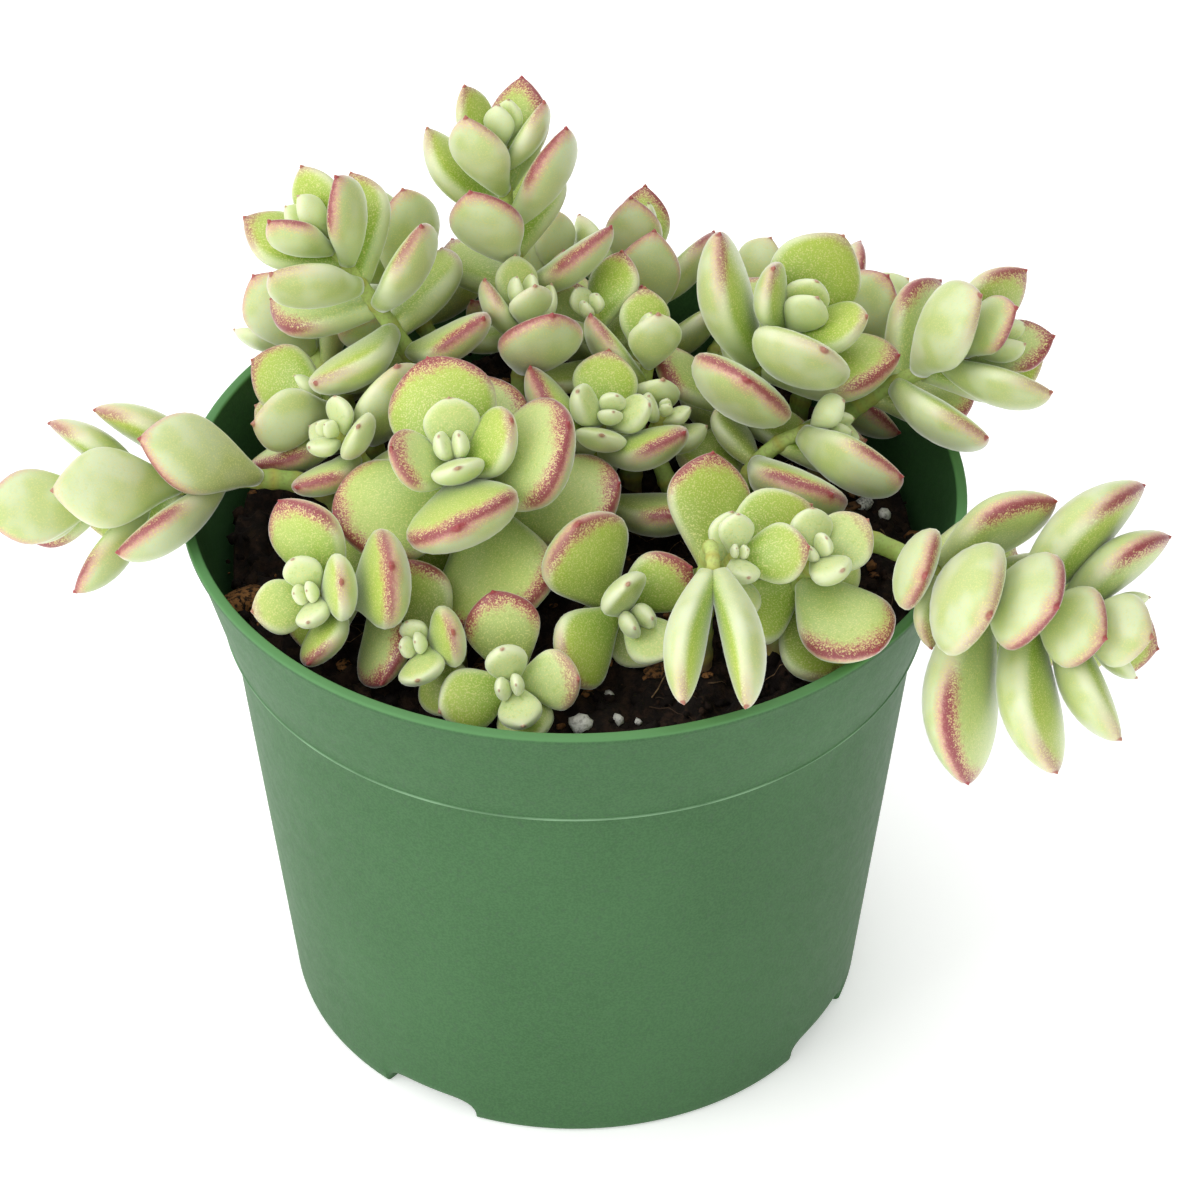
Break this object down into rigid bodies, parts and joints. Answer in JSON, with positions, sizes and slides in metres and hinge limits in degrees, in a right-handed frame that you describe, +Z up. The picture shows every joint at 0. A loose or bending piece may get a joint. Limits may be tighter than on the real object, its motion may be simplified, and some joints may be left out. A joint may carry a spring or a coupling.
{
  "type": "potted cotyledon",
  "caption": "Succulent cotyledon with thick, red-edged leaves in opposite pairs on short stems, growing in potting soil in a round tapered nursery pot.",
  "frame": {"origin": "centre of the pot's foot, on the surface that it stands on, which is also the middle of the part's footprint", "axes": "+Z up along the pot's axis, the front of the plant towards -Y, +X to the right as the front is seen"},
  "size_m": [0.2413, 0.1671, 0.1924],
  "materials": {
    "pot_plastic": "moulded green polypropylene with a satin skin, fine speckle and a brighter rim",
    "potting_soil": "near-black peaty potting soil with bark, fibre and a few white perlite grains",
    "leaf": "waxy grey-green leaf skin with a pale bloom and a speckled maroon margin"
  },
  "bodies": {
    "root": {"pot": "pot_plastic", "soil": "potting_soil", "shoot_front_middle": "leaf", "shoot_front_drooping": "leaf", "shoot_front_right": "leaf", "shoot_upper_right": "leaf", "shoot_upper_left": "leaf", "shoot_tall_rear": "leaf", "shoot_trailing_right": "leaf", "shoot_rear_right": "leaf", "shoot_trailing_left": "leaf", "shoot_front_left": "leaf", "shoot_right_inner": "leaf", "shoot_right_low": "leaf", "shoot_centre": "leaf", "shoot_left_inner": "leaf", "shoot_centre_rear": "leaf", "shoot_rear_inner": "leaf", "shoot_rear_middle": "leaf", "shoot_front_low": "leaf", "shoot_front_small": "leaf", "shoot_centre_bud": "leaf", "shoot_low_left": "leaf", "shoot_left_small": "leaf", "shoot_rear_small": "leaf", "shoot_back_left": "leaf", "shoot_back_middle": "leaf", "shoot_back_right": "leaf", "shoot_back_far_right": "leaf", "shoot_back_far_left": "leaf"}
  },
  "joints": []
}
